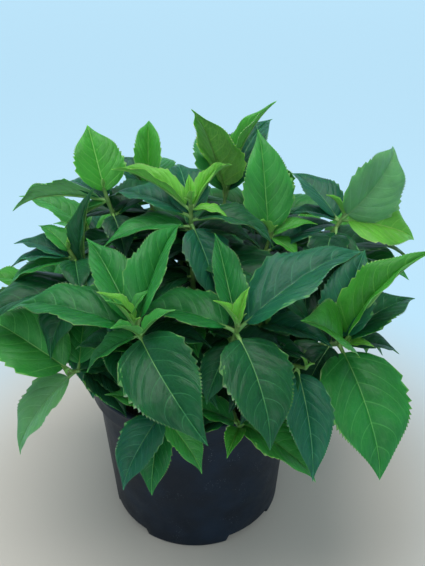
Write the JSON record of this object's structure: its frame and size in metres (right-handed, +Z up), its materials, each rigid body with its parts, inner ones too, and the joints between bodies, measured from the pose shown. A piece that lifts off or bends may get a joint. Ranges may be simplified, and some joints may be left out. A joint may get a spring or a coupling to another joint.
{
  "type": "hydrangea shrub in a nursery pot",
  "caption": "Leafy green hydrangea shrub without blooms, its woody canes rising from a filled black nursery pot with a rolled lip.",
  "frame": {"origin": "the middle of the pot's underside, in the plane of the feet that it stands on", "axes": "+Z up along the pot's axis, -Y to the front that the picture shows, +X to the right of that view"},
  "size_m": [0.3473, 0.3468, 0.323],
  "materials": {
    "pot": "black moulded plastic with a soft sheen and pale dust",
    "potting_mix": "dark crumbly peat and bark",
    "cane": "pale brown bark, green towards the tips",
    "foliage": "veined green leaves with a soft sheen"
  },
  "bodies": {
    "root": {"pot": "pot", "pot_band": "pot", "pot_base": "pot", "soil": "potting_mix", "crown": "cane", "front_left_cane": "cane", "front_left_leaves": "foliage", "front_middle_cane": "cane", "front_middle_leaves": "foliage", "top_front_cane": "cane", "top_front_leaves": "foliage", "top_cane": "cane", "top_leaves": "foliage", "upper_right_cane": "cane", "upper_right_leaves": "foliage", "right_shoulder_cane": "cane", "right_shoulder_leaves": "foliage", "right_cane": "cane", "right_leaves": "foliage", "upper_left_cane": "cane", "upper_left_leaves": "foliage", "left_cane": "cane", "left_leaves": "foliage", "low_left_cane": "cane", "low_left_leaves": "foliage", "low_front_left_cane": "cane", "low_front_left_leaves": "foliage", "low_front_right_cane": "cane", "low_front_right_leaves": "foliage", "front_right_cane": "cane", "front_right_leaves": "foliage", "low_right_cane": "cane", "low_right_leaves": "foliage", "top_left_cane": "cane", "top_left_leaves": "foliage", "inner_left_cane": "cane", "inner_left_leaves": "foliage", "inner_right_cane": "cane", "inner_right_leaves": "foliage", "inner_middle_cane": "cane", "inner_middle_leaves": "foliage", "inner_back_cane": "cane", "inner_back_leaves": "foliage", "back_left_cane": "cane", "back_left_leaves": "foliage", "back_middle_cane": "cane", "back_middle_leaves": "foliage", "back_right_cane": "cane", "back_right_leaves": "foliage", "far_right_cane": "cane", "far_right_leaves": "foliage", "far_left_cane": "cane", "far_left_leaves": "foliage", "low_back_left_cane": "cane", "low_back_left_leaves": "foliage", "low_back_cane": "cane", "low_back_leaves": "foliage", "low_back_right_cane": "cane", "low_back_right_leaves": "foliage"}
  },
  "joints": []
}
